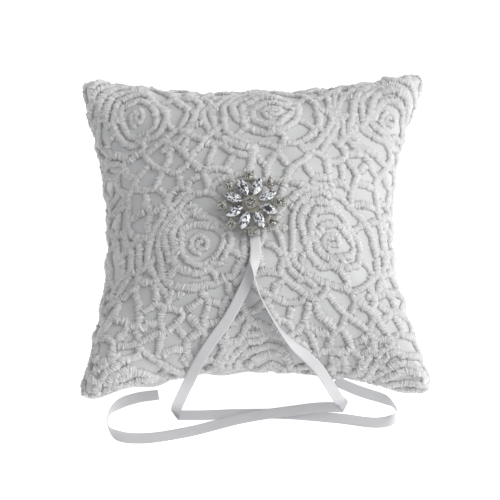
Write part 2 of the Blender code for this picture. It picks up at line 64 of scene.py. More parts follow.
# ---- The stuffed case
PANEL = 200             # sewn panel, seam to seam at the corners
SEAM_HEIGHT = 42
FRONT_RISE = 46         # crown of the front over the seam
BACK_DROP = 50          # belly of the back, before the table flattens it
BACK_POWER = 0.68       # how square-shouldered the back is
BACK_FULLNESS = 4       # half thickness of its rim
BACK_CORNER_FULL = 15
BACK_PAINTED_SHADE = 0.86       # painted shade: the back is the front's satin made this much darker
RIM_FULLNESS = 8        # half thickness of the stuffed rim
PUFF_POWER = 0.55
CROWN_SHIFT = 0.12
SAG_LEFT, SAG_RIGHT, SAG_NEAR, SAG_FAR = 17.5, 20, 18.5, 9
CENTRE_TRIM = 0.45
CORNER_RADIUS = 14
CORNER_POWER = 18
FULLNESS_POWER = 6
NEAR_FLARE_LEFT, NEAR_FLARE_RIGHT = 0.3, 3  # spread of the sides near the near corners
FAR_FLARE = 5           # and of the right side near the far corner
EAR_LEFT, EAR_RIGHT = 10, 13  # lift of the far corners
CORNER_FULL = 16        # extra fullness of the corners
RIM_BLEND = 8
SATIN_INSET = 1.85      # the satin's outside, inside the lace's outside
SATIN_THICK = 0.6
FILLING_INSET = 1.2     # the filling's outside, inside the satin's outside
CASE_CELLS, FILLING_CELLS = 170, 60
LUMPS = [(46, 0.45), (37, 0.35), (29, 0.3), (23, 0.2)]  # (wavelength, height)
GATHERS = [(17, 0.5), (12.5, 0.45), (9, 0.3)]

# ---- The brooch
BROOCH_AT = (-0.3, -0.4)
BROOCH_HEIGHT = 89.279  # underside of the brooch plate
BROOCH_TILT = 9
BROOCH_TURN = 2.5
STANDOFF = 3
SEAT_RADIUS = 20
SEAT_RAMP = 0.05
SEAT_SOFT = 1.6
ARMS = 8
SETTING_HEIGHT = 1      # undersides of the settings, over the plate's underside
LEAF_RADIUS = 10.4
LEAF_LENGTH, LEAF_WIDTH = 10.64, 5.51
LEAF_GIRDLE = 1.5
SQUARE_RADIUS = 16.2
SQUARE_SIDE, SQUARE_CLAW, SQUARE_WALL = 5, 0.95, 1.1
CENTRE_SIDE, CENTRE_CLAW, CENTRE_WALL = 6, 1, 2.9
CENTRE_TURN = 20
STONE_GAP = 0.18        # from a round stone to its claws
STONE_SIDES = 8
STONE_RIM = 0.18        # thickness of a stone's girdle
STONE_BEND = 0.62       # where the crown bends, as a share of its height
LEAF_CROWN, LEAF_DEPTH, LEAF_TABLE = 1.2, 0.8, 0.5
ROUND_CROWN, ROUND_DEPTH, ROUND_TABLE = 0.26, 0.2, 0.56  # shares of its width
KEEL_SHARE = 0.22       # half length of a long table's keel, as a share of the table

# ---- The ribbon: middle of the band, then the direction across it
RIBBON_WIDTH = 6
RIBBON_THICK = 0.3
RIBBON_STEP = 1.1       # between two rows of a tail
FOLD_SIDE = 1.8         # the fold lies this far to the right of the brooch's middle
FOLD_NEAR, FOLD_FAR = -17, -3.7  # its two ends, from the brooch's middle
FOLD_LOW, FOLD_HIGH, FOLD_BEND = -2.45, -1.85, 0.3  # its layers, and the bend between
LEFT_DOWN = [
    (1.5, -17.6, 84.3, 1, 0, 0), (1.9, -25.4, 83.2, 1, 0, 0),
    (0.9, -33, 82.3, 1, -0.15, 0), (-2, -41, 80.4, 0.9, -0.3, -0.1),
    (-6.6, -50, 77.2, 0.9, -0.4, -0.1), (-13.9, -61.5, 71.2, 0.9, -0.4, -0.1),
    (-22.8, -72, 65.3, 0.85, -0.45, -0.15), (-30, -80.8, 58.4, 0.85, -0.45, -0.15),
    (-36.6, -87.9, 44, 0.85, -0.45, -0.15), (-40.9, -88.3, 25, 0.85, -0.45, -0.1),
    (-43.3, -87, 10, 0.85, -0.5, -0.05), (-44.2, -86.6, 4.5, 0.93, -0.37, 0),
]
LEFT_FOLD = (-45.4, -89.6, 1)
LEFT_OUT = [
    (-31, -89.9, 0.7, 0, -1, 0), (-10, -89.4, 0.7, 0, -1, 0),
    (16.5, -89.9, 0.7, 0, -1, -0.05), (48, -93.2, 0.8, 0, -1, -0.1),
    (69.5, -96.3, 1.4, 0, -1, -0.2), (77.5, -95, 2.5, -0.1, -0.8, -0.6),
    (80.5, -91, 3.2, 0, -0.1, -1), (78.5, -86.5, 3.2, 0, -0.1, -1),
    (73.5, -82.5, 2.7, -0.3, -0.6, -0.7), (65, -79, 1.8, -0.2, -0.9, -0.4),
    (57, -75.5, 1.2, -0.1, -1, -0.2), (46, -70, 0.7, -0.3, -1, 0),
]
RIGHT_DOWN = [
    (1.5, -17.9, 85.1, 1, 0, 0), (1.9, -25.6, 84.3, 1, 0, -0.1),
    (1.2, -33, 84.8, 0.8, 0.1, -0.4), (0.9, -40, 84.4, 0.2, 0.35, -0.85),
    (2.6, -47.6, 81.2, 0.1, 0.35, -0.85), (5.6, -54.4, 77.9, 0.1, 0.35, -0.85),
    (14.6, -68, 70.4, 0.3, 0.35, -0.8), (22, -75.4, 65.2, 0.6, 0.45, -0.45),
    (28.5, -79.8, 60.8, 0.8, 0.5, -0.1), (34.5, -83.6, 55, 0.8, 0.5, 0.2),
    (40.8, -87.6, 42, 0.8, 0.5, 0.2), (45.3, -88.4, 25, 0.8, 0.55, 0.2),
    (48.4, -86.6, 10.5, 0.8, 0.58, 0.1), (49.6, -84.8, 5, 0.81, 0.59, 0),
]
RIGHT_FOLD = (51.4, -87.2, 3.3)
RIGHT_OUT = [
    (37, -87, 2.7, 0, 1, 0.1), (20, -88.9, 2.6, 0, 1, 0.1),
    (4, -91, 2.6, 0, 1, 0.1), (-9, -93.2, 2.2, 0, 1, 0.1),
    (-39, -100.2, 0.9, 0, 1, 0.1), (-64, -103.6, 1.2, 0, 1, 0.2),
    (-77, -102.3, 2.4, -0.1, 0.8, 0.6), (-82.5, -98, 3.3, 0, 0.1, 1),
    (-83.2, -92.5, 3.3, 0, 0, 1), (-81.5, -87.5, 3.3, 0, 0.2, 1),
    (-75.5, -82.5, 2.6, -0.2, 0.7, 0.6), (-66.5, -79, 1.7, -0.2, 0.9, 0.3),
    (-54.5, -77, 1, -0.1, 1, 0.1),
]

# ---- The lace, on its flat cloth
ROSE_CENTRES = [
    (-63, 63), (12, 58), (82, 63),
    (-104, -22), (-28, -23), (48.5, -20), (125, -20),
    (-66, -106), (11, -104), (87, -103),
]
ROSE_RADIUS = 26.5
PETALS = [      # an arc's start and end in degrees, its radius at its ends and at its middle
    (42, 195, 12, 17.8), (160, 300, 12, 17.2), (262, 425, 12, 16.8),
    (78, 200, 17, 22.2),
]
SPOKES = [      # direction in degrees, start, end, bow
    (276, 16, 26.5, 3), (218, 16, 26.5, -2), (330, 16, 26.5, 2),
    (132, 20.5, 26.8, 1), (40, 16, 26.8, -1),
]
RING_SEEDS = 13         # openings round one rose
RING_SEED_RADIUS = 31.5
FILL_SEED_RADIUS = 36.5
FIELD = 125             # half side of the field that the net's seeds fill
NEAR_PART, NEAR_CELL = -60, 0.86  # nearer than this the openings are smaller, by this
EDGE_LINE, SCALLOP, SCALLOP_PITCH = 96.9, 1.1, 8.5
CLOTH_LIMIT = 98.6      # the cords stop here
FAR_MARGIN, NEAR_MARGIN = 1.6, 2.5  # a net cord starts outside a rose, or this near its loop
MERGE_REACH = 2.2       # the net's corners closer than this are one
STRAIGHT_ON = -0.3      # two cords facing away more than this (a cosine) are one cord
CORD_ROUNDS, CORD_STEP = 18, 1.5  # how often a cord is smoothed, and at what spacing
NET_SPLIT = -8          # between the net's two pieces
FACE_LIMIT = 95000      # of one piece of lace
WANDER = [(41, 1), (27, 0.7), (17, 0.5), (11, 0.35)]

# ---- The camera and the light, in metres
LENS, SENSOR, SHIFT = 247.7, 36, (-0.0042, -0.0202)
AIM, DISTANCE = Vector((0, 0, 0.042)), 1.95
ELEVATION, ROLL = radians(65), radians(-0.88)
LAMPS = [       # name, place, side, share of the main light's strength, colour
    ("main_light", (1.12, 0.2, 1.02), 1.2, 1, (1, 0.995, 0.98)),
    ("front_light", (0.95, -0.8, 0.7), 0.8, 0.22, (1, 0.99, 0.975)),
]
LAMP_AIM = Vector((0, 0, 0.05))
METAL_DARK = (0.72, 0.7, 0.65)  # the plate's metal against the settings'
SKY_COLOUR = (0.98, 0.985, 1, 1)
FLOOR_GLOW = 0.62
FLOOR_HALF, FLOOR_DEPTH = 4000, 0.2  # in millimetres


# ---- Settings a user may change
def number(name, description, default, low, high, **more):
    """A setting that is one number."""
    return bpy.props.FloatProperty(
        name=name, description=description, default=default, min=low, max=high, **more)


def colour(name, description, *default):
    """A setting that is a colour."""
    return bpy.props.FloatVectorProperty(
        name=name, description=description, subtype="COLOR", size=3, default=default,
        min=0, max=1)


class PillowLaceSettings(PropertyGroup):
    """Sizes of the corded lace, in millimetres."""

    cord_width: number("Cord width", "Width of a lace cord, in millimetres", 4.9, 1, 6)
    cord_height: number(
        "Cord height", "Height of a lace cord over the satin, in millimetres", 2.1, 0.5, 3)
    stitch: number("Stitch", "Length of one stitch along a cord, in millimetres", 1.3, 0.6, 3)
    cell: number("Cell", "Size of the net's openings, in millimetres", 9.4, 6, 20)


class PillowColourSettings(PropertyGroup):
    """Colours of the cloth, the metal and the stones."""

    lace: colour("Lace", "Colour of the lace thread", 0.92, 0.92, 0.912)
    satin: colour("Satin", "Colour of the case", 0.63, 0.635, 0.64)
    ribbon: colour("Ribbon", "Colour of the ribbon", 0.70, 0.70, 0.72)
    metal: colour("Metal", "Colour of the plated settings", 0.66, 0.65, 0.61)
    smoky: colour("Smoky stones", "Colour of the round stones", 0.21, 0.21, 0.185)


class PillowStageSettings(PropertyGroup):
    """Light and floor."""

    key: number("Main light", "Strength of the main light", 14.2, 0, 1000, subtype="POWER")
    sky: number("Room light", "Strength of the light from all around", 0.50, 0, 10)
    floor: colour("Floor", "Colour of the floor", 0.9, 0.9, 0.9)


# ---- Shader maths
class Wire:
    """One number that varies over a surface; arithmetic on it adds Math nodes."""

    def __init__(self, recipe, socket):
        self.recipe = recipe
        self.socket = socket

    def _math(self, operation, *values):
        return self.recipe.node(
            "ShaderNodeMath", {"operation": operation}, dict(enumerate(values)))

    def __add__(self, other):
        return self._math("ADD", self, other)

    def __sub__(self, other):
        return self._math("SUBTRACT", self, other)

    def __rsub__(self, other):
        return self._math("SUBTRACT", other, self)

    def __mul__(self, other):
        return self._math("MULTIPLY", self, other)

    def __pow__(self, other):
        return self._math("POWER", self, other)

    __radd__, __rmul__ = __add__, __mul__

    def wave(self, pitch):
        """A sine from 0 to 1 that repeats at every pitch."""
        return (self * (2 * pi / pitch)).sine() * 0.5 + 0.5

    def sine(self):
        return self._math("SINE", self)

    def clamped(self):
        return self.recipe.node("ShaderNodeClamp", {}, {"Value": self})


class Recipe:
    """One material under construction, around its Principled shader."""

    def __init__(self, name, **constants):
        self.material = bpy.data.materials.new(name)
        self.material.use_nodes = True
        self.tree = self.material.node_tree
        self.shader = self.tree.nodes["Principled BSDF"]
        for socket, value in constants.items():
            self.feed(socket.replace("_", " "), value)
        self.place = self.node("ShaderNodeTexCoord", {}, {}, "Object")

    def node(self, kind, settings, inputs, output=0):
        """Add a node: settings first, a ramp's stops too, then its sockets' values or links."""
        made = self.tree.nodes.new(kind)
        for key, value in settings.items():
            if key == "stops":
                self._set_stops(made.color_ramp, value)
            else:
                setattr(made, key, value)
        for key, value in inputs.items():
            self.plug(made.inputs[key], value)
        return Wire(self, made.outputs[output])

    def plug(self, socket, value):
        """Give a socket a link or a plain value."""
        if isinstance(value, Wire):
            self.tree.links.new(value.socket, socket)
        else:
            socket.default_value = value

    @staticmethod
    def _set_stops(ramp, stops):
        while len(ramp.elements) < len(stops):
            ramp.elements.new(1)
        for element, (position, tone) in zip(ramp.elements, stops):
            element.position = position
            element.color = (*tone, 1)

    def attribute(self, name):
        """A number stored on the mesh."""
        return self.node("ShaderNodeAttribute", {"attribute_name": name}, {}, "Fac")

    def noise(self, scale, detail=3, roughness=0.5):
        """Soft noise from 0 to 1; scale is in cycles a metre."""
        return self.node("ShaderNodeTexNoise", {}, {
            "Scale": scale, "Detail": detail, "Roughness": roughness, "Vector": self.place})

    def paint(self, share, dark, light):
        """Give the surface a colour between two colours."""
        inputs = {0: share, 6: (*dark, 1), 7: (*light, 1)}
        self.feed("Base Color", self.node("ShaderNodeMix", {"data_type": "RGBA"}, inputs, 2))

    def bump(self, height, distance):
        """A Bump node that feeds Normal; distance is in metres."""
        self.feed("Normal", self.node("ShaderNodeBump", {}, {
            "Height": height, "Distance": distance}))

    def feed(self, socket, value):
        """Give the Principled shader a link or a plain value."""
        self.plug(self.shader.inputs[socket], value)


def tints(tone, *factors):
    """A colour made lighter or darker, once for each factor."""
    return [tuple(min(1, channel * factor) for channel in tone) for factor in factors]


def lace_material(tone):
    """Fluffy embroidery thread: strands across each cord, with painted shade low on each cord and
    in its grooves.
    """
    recipe = Recipe("corded_lace", Sheen_Weight=0.35, Sheen_Roughness=0.5)
    along, lift = recipe.attribute("along"), recipe.attribute("lift")
    fuzz = recipe.noise(1800, 4, 0.65)
    cloud = recipe.noise(45, 2)
    strand = (along * (2 * pi / 0.28) + fuzz * 5).sine() * 0.5 + 0.5
    # painted shade: darker where the cord is low or grooved, lighter on its top; fuzz and cloud
    # add random tone
    share = (lift * 0.85 + fuzz * 0.3 + cloud * 0.2 - 0.15).clamped()
    recipe.paint(share, *tints(tone, 0.76, 1.1))
    recipe.feed("Roughness", 0.92 - fuzz * 0.16)
    recipe.bump(strand * 0.4 + fuzz * 1.2, 0.0004)
    return recipe.material


def satin_material(name, tone):
    """Plain satin: a very fine weave, a soft sheen and faint clouding."""
    recipe = Recipe(name, Sheen_Weight=0.12, Sheen_Roughness=0.4)
    weave = 2 * pi / 0.00042
    down, across = (
        recipe.node("ShaderNodeSeparateXYZ", {}, {"Vector": recipe.place}, axis) for axis in "XY")
    cloud = recipe.noise(60)
    grain = recipe.noise(2600, 2)
    threads = (down * weave).sine() * (across * weave).sine()
    recipe.paint((cloud * 0.8 + grain * 0.2).clamped(), *tints(tone, 0.95, 1.05))
    recipe.feed("Roughness", 0.36 + cloud * 0.12)
    recipe.bump(threads * 0.3 + grain * 0.5, 0.00008)
    return recipe.material


def ribbon_material(tone):
    """Satin ribbon: glossy, ribbed along its length, with a woven edge."""
    recipe = Recipe("ribbon_satin", Anisotropic=0.4, Sheen_Weight=0.1)
    along, across = recipe.attribute("along"), recipe.attribute("across")
    grain = recipe.noise(900)
    cloud = recipe.noise(70, 2)
    ribs = across.wave(1 / 18)
    picks = along.wave(0.5)
    edge = ((across * across) * 4) ** 14
    share = (cloud * 0.55 + grain * 0.3 + edge * 0.4).clamped()
    recipe.paint(share, *tints(tone, 0.93, 1.07))
    recipe.feed("Roughness", 0.34 + grain * 0.12 + edge * 0.2)
    recipe.bump(ribs * 0.35 + picks * 0.25 + grain * 0.3 + edge * 0.8, 0.00006)
    return recipe.material


def metal_material(name, tone, roughness):
    """Plated metal with a little cast grain and dulled patches."""
    recipe = Recipe(name, Metallic=1)
    dull = recipe.noise(420, 4)
    recipe.paint(dull, *tints(tone, 0.72, 1.12))
    recipe.feed("Roughness", roughness + dull * 0.16)
    recipe.bump(recipe.noise(3000, 2), 0.00003)
    return recipe.material


def stone_material(name, stops, roughness, polish):
    """Foil backed cut glass with painted reflections: every facet is painted its own tone, dark to
    light, under a clear polish.
    """
    recipe = Recipe(
        name, Coat_Weight=polish, Coat_Roughness=0.03, Metallic=0.2 * polish, IOR=1.5)
    haze = recipe.noise(900, 2)
    # each facet's painted reflection tone, with a little random haze
    tone = recipe.attribute("tone") + haze * 0.12 - 0.06
    recipe.feed("Base Color", recipe.node("ShaderNodeValToRGB", {"stops": stops}, {"Fac": tone}))
    recipe.feed("Roughness", roughness + haze * 0.05)
    return recipe.material


def soft_material(name, roughness, noise, dark, light, distance):
    """Loose fibre or twisted thread: one noise gives it its tone and its surface."""
    recipe = Recipe(name, Roughness=roughness)
    tuft = recipe.noise(*noise)
    recipe.paint(tuft, dark, light)
    recipe.bump(tuft, distance)
    return recipe.material


def floor_material(tone):
    """Pale matt paper with the faintest mottling, a little brighter than its light."""
    recipe = Recipe("floor_paper", Roughness=0.95, Emission_Strength=FLOOR_GLOW,
                    Emission_Color=(1, 1, 1, 1))
    recipe.paint(recipe.noise(9), *tints(tone, 0.985, 1.015))
    return recipe.material


# ---- Mesh helpers
def new_object(name, vertices_mm, faces, material, smooth=True, domain="POINT", **attributes):
    """A mesh object from millimetres; an attribute is one number a vertex or a face."""
    mesh = bpy.data.meshes.new(name)
    mesh.from_pydata((np.asarray(vertices_mm, float) * MM).tolist(), [], faces)
    for key, values in attributes.items():
        layer = mesh.attributes.new(key, "FLOAT", domain)
        layer.data.foreach_set("value", np.asarray(values, np.float32))
    mesh.polygons.foreach_set("use_smooth", [smooth] * len(mesh.polygons))
    mesh.materials.append(material)
    mesh.update()
    obj = bpy.data.objects.new(name, mesh)
    bpy.context.scene.collection.objects.link(obj)
    return obj


def stand_for(obj, node, body):
    """Let a piece replace a CAD node and the body it rides on."""
    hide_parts(node)
    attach(obj, body)
    return obj


def unit(vectors):
    """Vectors of length one, along the last axis."""
    length = np.linalg.norm(vectors, axis=-1, keepdims=True)
    return vectors / np.where(length > 1e-9, length, 1)


def tube_faces(rings, size, offset=0):
    """Quads between rings of equal size, round each ring, and a cap on each end."""
    low = (np.arange(rings - 1) * size)[:, None] + np.arange(size) + offset
    ahead = np.roll(low, -1, axis=1)
    quads = np.stack([low, ahead, ahead + size, low + size], axis=-1).reshape(-1, 4).tolist()
    last = offset + (rings - 1) * size
    return quads + [list(range(offset, offset + size))[::-1], list(range(last, last + size))]


def distances(path):
    """Distance along a path at each of its points."""
    steps = np.linalg.norm(np.diff(path[:, :3], axis=0), axis=1)
    return np.concatenate([[0], np.cumsum(steps)])


def resampled(path, count):
    """A path, and all else in its rows, at even distances."""
    length = distances(path)
    even = np.linspace(0, length[-1], count)
    return np.stack([np.interp(even, length, column) for column in path.T], axis=1)


def even_path(path, spacing):
    """A path resampled at about even spacing."""
    path = np.asarray(path, float)
    return resampled(path, max(3, int(round(distances(path)[-1] / spacing)) + 1))


# ---- The case's shape
def outline(u, v, inset):
    """Plan position of grid point (u, v) on a layer that lies inset inside the lace."""
    side = np.where(u < 0, SAG_LEFT, SAG_RIGHT)
    end = np.where(v < 0, SAG_NEAR, SAG_FAR)
    corner = CORNER_RADIUS * (1 - sqrt(0.5)) * np.abs(u * v) ** CORNER_POWER
    near = np.where(u < 0, NEAR_FLARE_LEFT, NEAR_FLARE_RIGHT)
    near = near * np.sin(pi * np.clip((-v - 0.3) / 0.78, 0, 1))
    far = np.where(u > 0, FAR_FLARE, 0) * np.clip((v - 0.5) / 0.5, 0, 1) ** 1.5
    flare = near * np.abs(u) ** 3 + far * np.abs(u) ** 3
    x = u * (PANEL / 2 - inset - side * (1 - v * v)) + np.sign(u) * (flare - corner)
    y = v * (PANEL / 2 - inset - end * (1 - u * u)) - np.sign(v) * corner
    return x, y - CENTRE_TRIM


def ear_lift(u, v):
    """How far the far corners stand up over the rest of the seam."""
    height = np.where(u < 0, EAR_LEFT, EAR_RIGHT)
    aside = np.clip((np.abs(u) - 0.25) / 0.75, 0, 1) ** 1.7
    return height * aside * np.clip((v - 0.35) / 0.65, 0, 1) ** 2


def puff(u, v, rise, fullness, power=PUFF_POWER):
    """Height of a stuffed panel over the seam."""
    w = v - CROWN_SHIFT * (1 - v * v)
    middle = np.clip((1 - u * u) * (1 - w * w), 0, None)
    rim = (1 - np.abs(u) ** RIM_BLEND) * (1 - np.abs(v) ** RIM_BLEND)
    rim = np.sqrt(np.clip(rim, 0, None))
    return rise * middle ** power + fullness * rim * (1 - middle) ** FULLNESS_POWER


def front_surface(u, v):
    """Outside of the satin front, with the dimple under the brooch."""
    x, y = outline(u, v, SATIN_INSET)
    fullness = RIM_FULLNESS - SATIN_INSET + CORNER_FULL * (u * v) ** 4
    free = SEAM_HEIGHT + puff(u, v, FRONT_RISE - SATIN_INSET, fullness)
    reach = np.hypot(x - BROOCH_AT[0], y - BROOCH_AT[1])
    seat = BROOCH_HEIGHT + (y - BROOCH_AT[1]) * tan(radians(BROOCH_TILT))
    pressed = (seat - STANDOFF - SATIN_INSET
               + SEAT_RAMP * np.clip(reach - SEAT_RADIUS, 0, None) ** 2)
    lower = np.minimum(free, pressed)
    dip = SEAT_SOFT * np.log1p(np.exp(-np.abs(free - pressed) / SEAT_SOFT))
    dip = dip * np.clip(free - SEAM_HEIGHT, 0, 10) / 10
    return np.stack([x, y, lower - dip + ear_lift(u, v)], axis=-1)


def back_surface(u, v):
    """Outside of the satin back, flat where it rests on the table."""
    x, y = outline(u, v, SATIN_INSET)
    fullness = BACK_FULLNESS + BACK_CORNER_FULL * (u * v) ** 4
    free = SEAM_HEIGHT - puff(u, v, BACK_DROP, fullness, BACK_POWER) + ear_lift(u, v)
    return np.stack([x, y, np.maximum(free, 0)], axis=-1)


def ripple(s, t, waves, seed):
    """Soft unevenness from 0: the sum of waves, each (wavelength, height) in millimetres."""
    rng = np.random.default_rng(seed)
    total = np.zeros(np.broadcast(s, t).shape)
    for wavelength, height in waves:
        angle, phase = rng.uniform(0, pi), rng.uniform(0, 2 * pi)
        turn = 2 * pi / wavelength
        total = total + height * np.sin(turn * (s * cos(angle) + t * sin(angle)) + phase)
    return total


class Panel:
    """A stuffed panel as a table over its flat cloth, which runs from -HALF to HALF both ways."""

    HALF = PANEL / 2
    SAMPLES = 301
    CELLS = 400

    def __init__(self, surface, seed, gathered):
        lines = np.sin(np.linspace(-1, 1, self.SAMPLES) * pi / 2)
        raw = surface(*np.meshgrid(lines, lines, indexing="ij"))
        even = np.linspace(-1, 1, self.CELLS + 1)
        far_s, far_t = self.cloth(raw, 0), self.cloth(raw, 1)
        u_of = np.stack([np.interp(even, column, lines) for column in far_s.T], axis=1)
        v_of = np.stack([np.interp(even, row, lines) for row in far_t])
        v = np.tile(even, (self.CELLS + 1, 1))
        for _ in range(5):
            u = np.stack([np.interp(at, lines, row) for at, row in zip(v, u_of)])
            v = np.stack([np.interp(at, lines, row) for at, row in zip(u.T, v_of.T)], axis=1)
        self.points = surface(u, v)
        self.points += self.normals_of(self.points) * self.unevenness(seed, gathered)[..., None]
        self.points[..., 2] = np.maximum(self.points[..., 2], 0)
        self.normals = self.normals_of(self.points)

    @staticmethod
    def cloth(points, axis):
        """Length along the cloth from its middle, as a share of half its length."""
        steps = np.linalg.norm(np.diff(points, axis=axis), axis=-1)
        length = np.cumsum(steps, axis=axis)
        length = np.concatenate([np.zeros_like(np.take(length, [0], axis)), length], axis=axis)
        return 2 * length / np.take(length, [-1], axis) - 1

    @staticmethod
    def normals_of(points):
        """Unit normals, away from the stuffing on the front."""
        return unit(np.cross(np.gradient(points, axis=0), np.gradient(points, axis=1)))

    def unevenness(self, seed, gathered):
        """Lumps of stuffing and small gathers along the seam, none at the seam itself."""
        line = np.linspace(-self.HALF, self.HALF, self.CELLS + 1)
        s, t = np.meshgrid(line, line, indexing="ij")
        edge = self.HALF - np.maximum(np.abs(s), np.abs(t))
        lumps = ripple(s, t, LUMPS, seed)
        gathers = ripple(np.where(np.abs(s) > np.abs(t), t, s), 0 * s, GATHERS, seed + 1)
        near_seam = np.clip(edge / 4, 0, 1) * np.exp(-edge / 11)
        return lumps * np.clip(edge / 12, 0, 1) + gathers * near_seam * gathered

    def at(self, s, t):
        """Points and normals at cloth positions."""
        i, j = (np.clip((np.asarray(way) / self.HALF + 1) * self.CELLS / 2, 0,
                        self.CELLS - 1e-6) for way in (s, t))
        low_i, low_j = i.astype(int), j.astype(int)
        a, b = (i - low_i)[..., None], (j - low_j)[..., None]

        def mixed(table):
            return ((table[low_i, low_j] * (1 - a) + table[low_i + 1, low_j] * a) * (1 - b)
                    + (table[low_i, low_j + 1] * (1 - a) + table[low_i + 1, low_j + 1] * a) * b)

        return mixed(self.points), unit(mixed(self.normals))

    def sheet(self, cells, inset, sign):
        """An even grid of points, set into the stuffing; sign is 1 in front, -1 behind."""
        line = np.linspace(-self.HALF, self.HALF, cells + 1)
        points, normals = self.at(*np.meshgrid(line, line, indexing="ij"))
        return points - normals * inset * sign


def grid_quads(cells, offset=0, flip=False):
    """Quads of a square grid of vertices."""
    index = np.arange((cells + 1) ** 2).reshape(cells + 1, cells + 1) + offset
    quads = np.stack([index[:-1, :-1], index[1:, :-1], index[1:, 1:], index[:-1, 1:]], axis=-1)
    quads = quads.reshape(-1, 4)
    return quads[:, ::-1] if flip else quads


def rim_indices(cells):
    """Vertices round the rim of a square grid, in order."""
    side = cells + 1
    return np.array([i * side for i in range(cells)]
                    + [cells * side + j for j in range(cells)]
                    + [i * side + cells for i in range(cells, 0, -1)]
                    + list(range(cells, 0, -1)))


def closed_between(outer, inner, cells, flip):
    """Vertices and quads of a closed shell between two grids."""
    count = (cells + 1) ** 2
    rim = rim_indices(cells)
    ahead = np.roll(rim, -1)
    band = np.stack([rim, rim + count, ahead + count, ahead], axis=-1)
    quads = np.concatenate([grid_quads(cells, 0, flip), grid_quads(cells, count, not flip),
                            band[:, ::-1] if flip else band])
    return np.concatenate([outer.reshape(-1, 3), inner.reshape(-1, 3)]), quads.tolist()


FRONT = Panel(front_surface, 11, 1.6)
BACK = Panel(back_surface, 23, 3)


# ---- The lace's pattern
def rose_paths(centre, turn, size):
    """Cords of one rose: [(path, width share)], from its swirl to its outer loop."""
    cx, cy = centre

    def arc(start, end, radius, width=1, step=4):
        angles = np.radians(np.arange(start, end + step / 2, step))
        share = np.linspace(0, 1, len(angles))
        reach = radius(np.degrees(angles), share) * size
        x, y = cx + reach * np.cos(angles + turn), cy + reach * np.sin(angles + turn)
        return np.stack([x, y], axis=1), width

    def wave(mean, swing, lobes, phase):
        return lambda degrees, share: mean + swing * np.cos(np.radians(lobes * degrees + phase))

    def petal(low, high):
        return lambda degrees, share: low + (high - low) * np.sin(np.pi * share) ** 0.55

    loop, ruffle = wave(ROSE_RADIUS, 0.7, 3, 50), wave(0, 0.5, 5, 20)
    return [
        arc(0, 620, lambda degrees, share: 0.6 + 5 * share, 0.8, 8),
        arc(0, 360, wave(11.2, 0.5, 2, 40), 0.95),
        *(arc(start, end, petal(low, high)) for start, end, low, high in PETALS),
        arc(0, 360, lambda degrees, share: loop(degrees, share) + ruffle(degrees, share)),
        arc(100, 250, wave(31.6, 1.2, 2, 0)),
        arc(-60, 35, lambda degrees, share: 31.8 + 2.5 * share),
        *(spoke(centre, turn + radians(degrees), start * size, end * size, bow)
          for degrees, start, end, bow in SPOKES),
    ]


def spoke(centre, angle, start, end, bow):
    """A short bowed cord that runs outwards, and its width share."""
    share = np.linspace(0, 1, 9)
    reach = start + (end - start) * share
    side = bow * np.sin(np.pi * share)
    x = centre[0] + reach * cos(angle) - side * sin(angle)
    y = centre[1] + reach * sin(angle) + side * cos(angle)
    return np.stack([x, y], axis=1), 0.9


def edge_paths():
    """The lace's scalloped edge: one cord along every seam."""
    along = np.linspace(-97, 97, 240)
    out = EDGE_LINE + SCALLOP * np.abs(np.sin(along * pi / SCALLOP_PITCH))
    sides = [(along, out), (along, -out), (out, along), (-out, along)]
    return [(np.stack(side, axis=1), 0.85) for side in sides]


def net_seeds(cell):
    """Middles of the openings between the roses, and of the ghosts that keep roses whole."""
    rng = np.random.default_rng(5)
    centres = np.array(ROSE_CENTRES)
    seeds = []
    for cx, cy in centres:
        start = rng.uniform(0, 360)
        for k in range(RING_SEEDS):
            angle = radians(start + (k + rng.uniform(-0.16, 0.16)) * 360 / RING_SEEDS)
            outer = RING_SEED_RADIUS + rng.uniform(-0.7, 0.7)
            for reach in (outer, 2 * ROSE_RADIUS - outer):
                seeds.append((cx + reach * cos(angle), cy + reach * sin(angle)))
    for x, y in rng.uniform(-FIELD, FIELD, (9000, 2)):
        if np.hypot(centres[:, 0] - x, centres[:, 1] - y).min() < FILL_SEED_RADIUS:
            continue
        room = cell * (NEAR_CELL if y < NEAR_PART else 1)
        if min(hypot(x - a, y - b) for a, b in seeds) > room:
            seeds.append((x, y))
    return seeds


def cell_walls(seeds):
    """Walls between neighbouring seeds' cells: corner points, and pairs of their numbers."""
    points, _, triangles, *_ = delaunay_2d_cdt([Vector(s) for s in seeds], [], [], 0, 1e-6)
    corners, walls, shared = [], [], {}
    for number, (a, b, c) in enumerate(triangles):
        ax, ay = points[a]
        bx, by = points[b]
        cx, cy = points[c]
        d = 2 * (ax * (by - cy) + bx * (cy - ay) + cx * (ay - by))
        d = d if abs(d) > 1e-9 else 1e-9
        a2, b2, c2 = ax * ax + ay * ay, bx * bx + by * by, cx * cx + cy * cy
        corners.append(((a2 * (by - cy) + b2 * (cy - ay) + c2 * (ay - by)) / d,
                        (a2 * (cx - bx) + b2 * (ax - cx) + c2 * (bx - ax)) / d))
        for edge in ((a, b), (b, c), (c, a)):
            other = shared.setdefault(frozenset(edge), number)
            if other != number:
                walls.append((other, number))
    return np.array(corners), walls


def merge_close(corners, walls):
    """Corners that lie close become one; walls that vanish are dropped."""
    owner = list(range(len(corners)))

    def find(k):
        while owner[k] != k:
            k = owner[k]
        return k

    for a, b in walls:
        if np.hypot(*(corners[a] - corners[b])) < MERGE_REACH:
            owner[find(a)] = find(b)
    groups = {}
    for k in range(len(corners)):
        groups.setdefault(find(k), []).append(k)
    merged = {root: corners[members].mean(axis=0) for root, members in groups.items()}
    kept = sorted({tuple(sorted((find(a), find(b)))) for a, b in walls if find(a) != find(b)})
    return merged, kept


